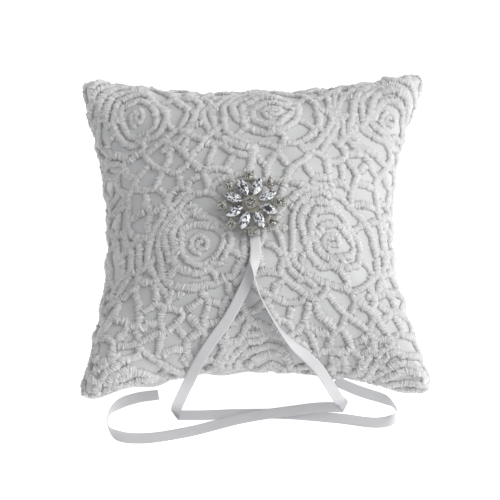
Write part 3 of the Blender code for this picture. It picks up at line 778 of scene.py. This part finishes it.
def long_runs(corners, walls):
    """Chains walls into long runs, straight on at every corner where that is possible."""
    at_corner = {}
    for number, (a, b) in enumerate(walls):
        at_corner.setdefault(a, []).append(number)
        at_corner.setdefault(b, []).append(number)
    partner = {}
    for corner, numbers in at_corner.items():
        headings = {}
        for n in numbers:
            other = sum(walls[n]) - corner
            headings[n] = unit(corners[other] - corners[corner])
        pairs = sorted((float(headings[m] @ headings[n]), m, n)
                       for m in numbers for n in numbers if m < n)
        used = set()
        for facing, m, n in pairs:
            if facing < STRAIGHT_ON and m not in used and n not in used:
                used.update((m, n))
                partner[corner, m], partner[corner, n] = n, m
    runs, seen = [], set()
    starts = [(c, n) for c, numbers in at_corner.items() for n in numbers if (c, n) not in partner]
    starts += [(walls[n][0], n) for n in range(len(walls))]
    for corner, number in starts:
        if number in seen:
            continue
        run = [corner]
        while number is not None and number not in seen:
            seen.add(number)
            corner = sum(walls[number]) - corner
            run.append(corner)
            number = partner.get((corner, number))
        runs.append(run)
    return runs


def smoothed(path):
    """A path whose corners are rounded; its ends stay."""
    path = even_path(path, CORD_STEP)
    for _ in range(CORD_ROUNDS):
        path[1:-1] = (path[:-2] + 2 * path[1:-1] + path[2:]) / 4
    return path


def net_paths(cell):
    """Cords of the net between the roses."""
    corners, walls = cell_walls(net_seeds(cell))
    centres = np.array(ROSE_CENTRES)

    def reach(point):
        return float(np.hypot(*(centres - point).T).min())

    kept = []
    for a, b in walls:
        near, far = sorted((reach(corners[a]), reach(corners[b])))
        inside = max(np.abs(corners[a]).max(), np.abs(corners[b]).max()) < FIELD - 1
        if inside and far > ROSE_RADIUS + FAR_MARGIN and near > ROSE_RADIUS - NEAR_MARGIN:
            kept.append((a, b))
    merged, kept = merge_close(corners, kept)
    return [(smoothed([merged[c] for c in run]), 1) for run in long_runs(merged, kept)]


def warped(path):
    """The pattern drawn by hand: every line wanders a little."""
    return path + np.stack([ripple(*path.T, WANDER, seed) for seed in (31, 47)], axis=1)


SECTION = np.array([
    (-0.50, -0.12), (-0.48, 0.34), (-0.33, 0.76), (0, 1),
    (0.33, 0.76), (0.48, 0.34), (0.50, -0.12), (0, -0.22),
])


def cord_table(path, share, settings, rng):
    """One cord laid on the front: rows of x, y, z, the distance along it and its painted shade, a
    lightness that is darker low on the cord and in its groove rings.

    Every stitch is a groove ring and two ridge rings, so the cord looks bound with thread."""
    width, height = settings.cord_width * share, settings.cord_height * (0.3 + 0.7 * share)
    spacing = settings.stitch / 3
    path = even_path(warped(even_path(path, spacing)), spacing)
    count, size = len(path), len(SECTION)
    points, normals = FRONT.at(*path.T)
    tangents = unit(np.gradient(points, axis=0))
    sides = unit(np.cross(normals, tangents))
    ring = np.arange(count)
    groove = ring % 3 == 0
    per_stitch = rng.normal(0, 1, (count // 3 + 1, 4))[ring // 3]
    slow = 1 + 0.12 * np.sin(np.cumsum(rng.normal(0, 0.11, count)))
    wide = width * slow * np.where(groove, 0.86, 1.04 + 0.12 * per_stitch[:, 0])
    tall = height * np.where(groove, 0.76, 1 + 0.13 * per_stitch[:, 1])
    end = np.minimum(ring, ring[::-1])
    round_end = np.sqrt(np.clip((end + 0.6) / 4, 0, 1))
    wide, tall = wide * round_end, tall * round_end
    slant = 0.38 * np.sin(np.cumsum(rng.normal(0, 0.11, count))) + 0.08 * per_stitch[:, 2]
    across = SECTION[None, :, 0] * wide[:, None]
    lift = SECTION[None, :, 1] * tall[:, None]
    along = across * slant[:, None] + rng.normal(0, 0.09, (count, size))
    across = across + 0.20 * per_stitch[:, 3:] + rng.normal(0, 0.15, across.shape)
    lift = lift + rng.normal(0, 0.08, lift.shape) * (SECTION[:, 1] > 0)
    vertices = (points[:, None] + sides[:, None] * across[..., None]
                + normals[:, None] * lift[..., None] + tangents[:, None] * along[..., None])
    # painted shade: darker low on the cord's sides and at every groove ring
    shade = (0.3 + 0.7 * np.clip(SECTION[:, 1], 0, 1)) * np.where(groove, 0.5, 1)[:, None]
    return np.column_stack([
        vertices.reshape(-1, 3), np.repeat(ring * spacing, size), shade.reshape(-1)])


def on_cloth(path):
    """The stretches of a path that lie on the front."""
    inside = np.abs(path).max(axis=1) <= CLOTH_LIMIT
    cuts = np.flatnonzero(np.diff(inside)) + 1
    return [run for run, keep in zip(np.split(path, cuts), np.split(inside, cuts))
            if keep[0] and len(run) > 3]


def lay_cords(name, paths, settings, material, seed):
    """Every cord of one part of the lace, as one piece."""
    rng = np.random.default_rng(seed)
    tables, faces, offset, size = [], [], 0, len(SECTION)
    for path, share in paths:
        for run in on_cloth(even_path(path, 0.8)):
            tables.append(cord_table(run, share, settings, rng))
            faces += tube_faces(len(tables[-1]) // size, size, offset)
            offset += len(tables[-1])
    table = np.concatenate(tables)
    # the cords' painted shade is stored on the mesh as a vertex attribute
    return new_object(name, table[:, :3], faces, material, along=table[:, 3], lift=table[:, 4])


# ---- The ribbon's shape
def spline_rows(stops, spacing):
    """Evenly spaced rows of a centripetal Catmull-Rom curve through the stops."""
    stops = np.array(stops, float)
    steps = np.linalg.norm(np.diff(stops[:, :3], axis=0), axis=1) ** 0.5
    knots = np.concatenate([[-steps[0]], [0], np.cumsum(steps)])
    knots = np.append(knots, knots[-1] + steps[-1])
    ends = np.vstack([2 * stops[0] - stops[1], stops, 2 * stops[-1] - stops[-2]])

    def mix(a, b, low, high, t):
        share = ((t - low) / (high - low))[:, None]
        return a * (1 - share) + b * share

    rows = []
    for k in range(1, len(stops)):
        p, n = ends[k - 1:k + 3], knots[k - 1:k + 3]
        t = np.linspace(n[1], n[2], 24, endpoint=False)
        first = [mix(p[i], p[i + 1], n[i], n[i + 1], t) for i in range(3)]
        second = [mix(first[i], first[i + 1], n[i], n[i + 2], t) for i in range(2)]
        rows.append(mix(second[0], second[1], n[1], n[2], t))
    fine = np.vstack(rows + [stops[-1:]])
    return resampled(fine, max(3, int(distances(fine)[-1] / spacing) + 1))


def fold_rows(down, corner, out):
    """Rows of a band that is folded flat at a corner: square, along the crease, square again.

    The crease halves the angle between the two runs. A row is the band's middle and the
    vector from its middle to its right edge."""
    middle = np.array(corner)
    come = unit(middle[:2] - np.array(down[-1][:2]))
    go = unit(np.array(out[0][:2]) - middle[:2])
    crease = unit(come + go)
    lean = float(crease @ come)
    half = RIBBON_WIDTH / 2 / sqrt(1 - lean * lean)
    side = 1 if crease @ np.array(down[-1][3:5]) > 0 else -1
    step = half * lean
    across_come = unit(crease - lean * come) * side
    across_go = unit(crease - lean * go) * side
    drop = RIBBON_THICK * 0.9
    before = (*(middle[:2] - come * step), middle[2] + drop, *across_come, 0)
    after = (*(middle[:2] + go * step), middle[2] - drop, *across_go, 0)
    crease_row = np.array([*middle, *(crease * side * half), 0])
    return before, crease_row, after


def edge_rows(rows):
    """Turns the direction across the band into the vector to its right edge, square to its run."""
    centres, across = rows[:, :3], rows[:, 3:6]
    run = unit(np.gradient(centres, axis=0))
    across = unit(across - np.sum(across * run, axis=1, keepdims=True) * run)
    return np.hstack([centres, across * RIBBON_WIDTH / 2]), run


def tail_rows(down, corner, out):
    """Every row of one tail, and the direction of its run."""
    before, crease, after = fold_rows(down, corner, out)
    first, run_first = edge_rows(spline_rows(down + [before], RIBBON_STEP))
    second, run_second = edge_rows(spline_rows([after] + out, RIBBON_STEP))
    rows = np.vstack([first, crease[None], second])
    runs = np.vstack([run_first, [[0, 0, -1]], run_second])
    return rows, runs


def band_object(name, rows, runs, material):
    """A thin band with rounded edges through the rows."""
    share = np.linspace(-1, 1, 9)
    thick = RIBBON_THICK / 2 * np.sqrt(np.clip(1 - 0.8 * np.abs(share) ** 12, 0, 1))
    share, thick = np.append(share, share[::-1]), np.append(thick, -thick[::-1])
    centres, across = rows[:, :3], rows[:, 3:6]
    normals = unit(np.cross(runs, across))
    rings = (centres[:, None] + across[:, None] * share[None, :, None]
             + normals[:, None] * thick[None, :, None])
    faces = [face[::-1] for face in tube_faces(len(rows), len(share))]
    return new_object(name, rings.reshape(-1, 3), faces, material,
                      along=np.repeat(distances(centres), len(share)),
                      across=np.tile(share / 2, len(rows)))


# ---- The brooch's stones
def brooch_matrix():
    """The brooch's place before it turns on its own face, in millimetres."""
    return (Matrix.Translation((*BROOCH_AT, BROOCH_HEIGHT))
            @ Matrix.Rotation(radians(BROOCH_TILT), 4, "X"))


def on_brooch(degrees, radius):
    """The place of a setting on the plate, its own X pointing outwards."""
    return (brooch_matrix() @ Matrix.Rotation(radians(BROOCH_TURN), 4, "Z")
            @ Matrix.Rotation(radians(degrees), 4, "Z")
            @ Matrix.Translation((radius, 0, SETTING_HEIGHT)))


def placed(vertices, matrix):
    """Vertices moved by a matrix."""
    table = np.array(matrix)
    return np.asarray(vertices, float) @ table[:3, :3].T + table[:3, 3]


def oval(share):
    """A pointed oval of two arcs: (x, y) at shares of its way round, for length and width of 1."""
    length, width = LEAF_LENGTH / 2, LEAF_WIDTH / 2
    radius = (length * length + width * width) / (2 * width)
    sweep = asin(length / radius)
    share = np.asarray(share) % 1
    upper = share < 0.5
    part = np.where(upper, share, share - 0.5) * 2
    angle = sweep * (1 - 2 * part)
    x = radius * np.sin(angle)
    y = radius * np.cos(angle) - radius + width
    return np.where(upper, x, -x) / LEAF_LENGTH, np.where(upper, y, -y) / LEAF_WIDTH


def circle(share):
    """A circle of diameter 1 at shares of its way round."""
    angle = np.asarray(share) * 2 * pi
    return np.cos(angle) / 2, np.sin(angle) / 2


def cut_stone(shape, length, width, girdle, crown, depth, table_share):
    """A cut stone's vertices and (face, kind) facets.

    It has a girdle, two rows of crown facets, a table split by its keel, and a pavilion."""
    sides, low = STONE_SIDES, girdle + STONE_RIM

    def ring(count, offset, scale, z):
        x, y = shape((np.arange(count) + offset) / count)
        return [(a * length * scale, b * width * scale, z) for a, b in zip(x, y)]

    keel = length * table_share * KEEL_SHARE if length > width * 1.3 else 0
    vertices = (ring(2 * sides, 0, 1, girdle) + ring(2 * sides, 0, 1, low)
                + ring(sides, 0.5, (1 + table_share) / 2,
                       low + (crown - STONE_RIM) * STONE_BEND)
                + ring(sides, 0, table_share, girdle + crown)
                + [(-keel, 0, girdle + crown), (keel, 0, girdle + crown),
                   (0, 0, girdle - depth)])
    top, mid, flat = 2 * sides, 4 * sides, 5 * sides
    left, right, point = 6 * sides, 6 * sides + 1, 6 * sides + 2

    def heart(k):
        """The keel's end that the table's side k belongs to."""
        return right if vertices[flat + k][0] + vertices[flat + (k + 1) % sides][0] > 0 else left

    facets = []
    for k in range(sides):
        a, b, c = (top + (2 * k + step) % (2 * sides) for step in range(3))
        ahead = flat + (k + 1) % sides
        facets += [((a, b, mid + k), "break"), ((b, c, mid + k), "break"),
                   ((a, mid + k, flat + k), "bezel"), ((c, ahead, mid + k), "bezel"),
                   ((mid + k, ahead, flat + k), "star"), ((flat + k, ahead, heart(k)), "table")]
    for k in range(2 * sides):
        ahead = (k + 1) % (2 * sides)
        facets += [((k, ahead, top + ahead, top + k), "rim"), ((ahead, k, point), "pavilion")]
    for k in range(sides):
        here, before = heart(k), heart((k - 1) % sides)
        if keel and here != before:
            facets.append(((flat + k, here, before), "table"))
    return vertices, facets


# painted reflections: the range of tone each kind of facet may get, from dark to light
FACET_REFLECTION_TONES = {
    "table": (0.05, 0.95), "star": (0.15, 1), "bezel": (0, 1),
    "break": (0.3, 1), "rim": (0.4, 0.8), "pavilion": (0.2, 0.6),
}


def stone_object(name, parts, matrix, material, rng):
    """A flat faceted stone whose facets each have a painted reflection tone, dark to light."""
    vertices, facets = parts
    painted_reflections = []
    for _, kind in facets:
        low, high = FACET_REFLECTION_TONES[kind]
        pick = rng.uniform()
        painted_reflections.append(low + (high - low) * (pick ** 2 * (3 - 2 * pick)))
    return new_object(name, placed(vertices, matrix), [face for face, _ in facets], material,
                      smooth=False, domain="FACE", tone=painted_reflections)


# ---- Operators
class PILLOW_OT_camera(Operator):
    """Make the camera, in front of the pillow and high above it."""

    bl_idname = "pillow.camera"
    bl_label = "Camera"

    def execute(self, context):
        data = bpy.data.cameras.new("Camera")
        data.lens, data.sensor_width = LENS, SENSOR
        data.shift_x, data.shift_y = SHIFT
        data.clip_start, data.clip_end = 0.05, 20
        obj = bpy.data.objects.new("Camera", data)
        context.scene.collection.objects.link(obj)
        back = Vector((0, -cos(ELEVATION), sin(ELEVATION)))
        look = (-back).to_track_quat("-Z", "Y").to_matrix().to_4x4()
        obj.matrix_world = (Matrix.Translation(AIM + back * DISTANCE) @ look
                            @ Matrix.Rotation(ROLL, 4, "Z"))
        context.scene.camera = obj
        return {"FINISHED"}


class PILLOW_OT_ribbon(Operator):
    """Make both tails of the ribbon and the fold under the brooch."""

    bl_idname = "pillow.ribbon"
    bl_label = "Ribbon"

    def execute(self, context):
        material = ribbon_material(context.scene.pillow_colours.ribbon)
        fold = self.fold(material)
        parts = [("tail_left", "ribbon_tail_left", LEFT_DOWN, LEFT_FOLD, LEFT_OUT),
                 ("tail_right", "ribbon_tail_right", RIGHT_DOWN, RIGHT_FOLD, RIGHT_OUT)]
        for name, node, down, corner, out in parts:
            rows, runs = tail_rows(down, corner, out)
            tail = band_object(name, rows, runs, material)
            stand_for(tail, node, "cushion")
        return {"FINISHED"}

    def fold(self, material):
        """The end of the doubled ribbon, under the brooch."""
        turn = [(FOLD_FAR + FOLD_BEND * sin(a), FOLD_LOW + FOLD_BEND * (1 - cos(a)))
                for a in np.linspace(0, pi, 9)]
        stops = [FOLD_NEAR, -12, -7]
        line = [(y, FOLD_LOW) for y in stops] + turn + [(y, FOLD_HIGH) for y in stops[::-1]]
        centres = placed([(FOLD_SIDE, y, z) for y, z in line], brooch_matrix())
        half = np.tile([RIBBON_WIDTH / 2, 0, 0], (len(centres), 1))
        obj = band_object("fold_under_brooch", np.hstack([centres, half]),
                          unit(np.gradient(centres, axis=0)), material)
        return stand_for(obj, "ribbon_fold", "cushion")


class PILLOW_OT_case(Operator):
    """Make the satin front and back and the filling."""

    bl_idname = "pillow.case"
    bl_label = "Case"

    def execute(self, context):
        satin = context.scene.pillow_colours.satin
        front = closed_between(FRONT.sheet(CASE_CELLS, 0, 1),
                               FRONT.sheet(CASE_CELLS, SATIN_THICK, 1), CASE_CELLS, False)
        back = closed_between(BACK.sheet(CASE_CELLS, 0, -1),
                              BACK.sheet(CASE_CELLS, SATIN_THICK, -1), CASE_CELLS, True)
        filling = closed_between(FRONT.sheet(FILLING_CELLS, FILLING_INSET, 1),
                                 BACK.sheet(FILLING_CELLS, FILLING_INSET, -1),
                                 FILLING_CELLS, False)
        fibre = soft_material("stuffing_fibre", 0.95, (220, 5, 0.7),
                              (0.78, 0.78, 0.76), (0.92, 0.92, 0.9), 0.002)
        for name, node, slot, parts, material in (
                ("satin_front", "cover_front", "satin", front,
                 satin_material("case_satin", satin)),
                ("satin_back", "cover_back", "back_satin", back,
                 # the back's satin is the front's, darkened by painted shade
                 satin_material("case_back_satin_painted_shade", *tints(satin, BACK_PAINTED_SHADE))),
                ("stuffing", "fibre_filling", "fibre", filling, fibre)):
            obj = new_object(name, *parts, material)
            stand_for(obj, node, "cushion")
        return {"FINISHED"}


class PILLOW_OT_lace(Operator):
    """Lay the corded lace over the front."""

    bl_idname = "pillow.lace"
    bl_label = "Lace"

    def execute(self, context):
        settings = context.scene.pillow_lace
        material = lace_material(context.scene.pillow_colours.lace)
        rng = np.random.default_rng(3)
        roses = []
        for centre in ROSE_CENTRES:
            roses += rose_paths(centre, rng.uniform(-0.15, 0.15), rng.uniform(0.98, 1.02))
        roses += edge_paths()
        net = net_paths(settings.cell)
        far = [cord for cord in net if cord[0][:, 1].mean() > NET_SPLIT]
        near = [cord for cord in net if cord[0][:, 1].mean() <= NET_SPLIT]
        parts = [("lace_roses", roses), ("lace_net_far", far), ("lace_net_near", near)]
        for seed, (name, paths) in enumerate(parts, 70):
            obj = lay_cords(name, paths, settings, material, seed)
            if len(obj.data.polygons) > FACE_LIMIT:
                raise RuntimeError(f"{name} has {len(obj.data.polygons)} faces")
            stand_for(obj, "lace_front", "cushion")
        return {"FINISHED"}


class PILLOW_OT_brooch(Operator):
    """Set the stones, and give the metal its finish."""

    bl_idname = "pillow.brooch"
    bl_label = "Brooch"

    def execute(self, context):
        colours = context.scene.pillow_colours
        plate = metal_material(
            "brooch_plate_metal", [c * f for c, f in zip(colours.metal, METAL_DARK)], 0.32)
        setting = metal_material("setting_metal", colours.metal, 0.14)
        thread = soft_material("sewing_thread", 0.8, (2500, 3),
                               (0.76, 0.76, 0.74), (0.9, 0.9, 0.88), 0.0001)
        finishes = {"brooch_plate": plate, "brooch_shank": plate, "sewing_thread": thread}
        for name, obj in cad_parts.items():
            if name in finishes or "setting" in name:
                obj.data.materials.clear()
                obj.data.materials.append(finishes.get(name, setting))
        # painted reflections: the clear stones' facets run from near black to white
        clear = stone_material("clear_glass_stone", [
            (0, (0.012, 0.014, 0.02)), (0.3, (0.08, 0.09, 0.115)), (0.55, (0.42, 0.44, 0.48)),
            (0.85, (0.97, 0.98, 1))], 0.05, 1)
        # the smoky stones' own colour in the middle, with painted reflections darker and lighter
        # and a white painted highlight
        smoky = stone_material("smoky_glass_stone", [
            *zip((0, 0.5, 0.82), tints(colours.smoky, 0.06, 0.65, 1.9)),
            (1, (0.85, 0.85, 0.8))], 0.12, 0.35)
        rng = np.random.default_rng(19)
        leaf = cut_stone(oval, LEAF_LENGTH, LEAF_WIDTH, LEAF_GIRDLE, LEAF_CROWN, LEAF_DEPTH,
                         LEAF_TABLE)
        small = self.round_cut(SQUARE_SIDE, SQUARE_CLAW, SQUARE_WALL)
        stones = []
        for k in range(ARMS):
            turn = k * 360 / ARMS
            stones += [
                (f"marquise_{k + 1}", f"leaf_stone_{k + 1}", "clear_stone", leaf,
                 on_brooch(turn + 180 / ARMS, LEAF_RADIUS), clear),
                (f"small_round_{k + 1}", f"round_stone_{k + 1}", "smoky_stone", small,
                 on_brooch(turn, SQUARE_RADIUS), smoky)]
        stones.append(("middle_round", "centre_stone", "smoky_stone",
                       self.round_cut(CENTRE_SIDE, CENTRE_CLAW, CENTRE_WALL),
                       on_brooch(CENTRE_TURN, 0), smoky))
        for name, node, slot, parts, matrix, material in stones:
            stand_for(stone_object(name, parts, matrix, material, rng), node, "brooch")
        return {"FINISHED"}

    @staticmethod
    def round_cut(side, claw, wall):
        """A brilliant cut stone that fills its cup."""
        width = 2 * (sqrt(2) * (side / 2 - claw) - STONE_GAP)
        return cut_stone(circle, width, width, wall + 0.2, width * ROUND_CROWN,
                         width * ROUND_DEPTH, ROUND_TABLE)


class PILLOW_OT_stage(Operator):
    """Make the floor and the lights."""

    bl_idname = "pillow.stage"
    bl_label = "Stage"

    def execute(self, context):
        settings = context.scene.pillow_stage
        corners = [(-1, -1), (1, -1), (1, 1), (-1, 1)]
        floor = new_object(
            "floor", [(x * FLOOR_HALF, y * FLOOR_HALF, -FLOOR_DEPTH) for x, y in corners],
            [[0, 1, 2, 3]], floor_material(settings.floor), smooth=False)
        world = bpy.data.worlds.new("studio")
        world.use_nodes = True
        background = world.node_tree.nodes["Background"]
        background.inputs["Color"].default_value = SKY_COLOUR
        background.inputs["Strength"].default_value = settings.sky
        context.scene.world = world
        for name, place, side, share, tone in LAMPS:
            data = bpy.data.lights.new(name, "AREA")
            data.size, data.energy, data.color = side, settings.key * share, tone
            obj = bpy.data.objects.new(name, data)
            context.scene.collection.objects.link(obj)
            obj.location = place
            obj.rotation_mode = "QUATERNION"
            obj.rotation_quaternion = (LAMP_AIM - obj.location).to_track_quat("-Z", "Y")
        context.scene.view_settings.view_transform = "Standard"
        return {"FINISHED"}


OPERATORS = (PILLOW_OT_camera, PILLOW_OT_ribbon, PILLOW_OT_case, PILLOW_OT_lace,
             PILLOW_OT_brooch, PILLOW_OT_stage)


class PILLOW_PT_panel(bpy.types.Panel):
    """The pillow's makers, in order."""

    bl_idname = "PILLOW_PT_panel"
    bl_label = "Ring Pillow"
    bl_space_type = "VIEW_3D"
    bl_region_type = "UI"
    bl_category = "Ring Pillow"

    def draw(self, context):
        for name, cls in SETTINGS.items():
            for key in cls.__annotations__:
                self.layout.prop(getattr(context.scene, name), key)
        for operator in OPERATORS:
            self.layout.operator(operator.bl_idname)


SETTINGS = {
    "pillow_lace": PillowLaceSettings,
    "pillow_colours": PillowColourSettings,
    "pillow_stage": PillowStageSettings,
}
CLASSES = (*SETTINGS.values(), *OPERATORS, PILLOW_PT_panel)


def register():
    """Register every class and hang the settings on the scene."""
    for cls in CLASSES:
        bpy.utils.register_class(cls)
    for key, cls in SETTINGS.items():
        setattr(bpy.types.Scene, key, bpy.props.PointerProperty(type=cls))


def unregister():
    """Undo register."""
    for key in SETTINGS:
        delattr(bpy.types.Scene, key)
    for cls in reversed(CLASSES):
        bpy.utils.unregister_class(cls)


def main():
    """Make every piece."""
    register()
    bpy.ops.pillow.camera()
    bpy.ops.pillow.ribbon()
    bpy.ops.pillow.case()
    bpy.ops.pillow.lace()
    bpy.ops.pillow.brooch()
    bpy.ops.pillow.stage()


if __name__ == "__main__":
    main()
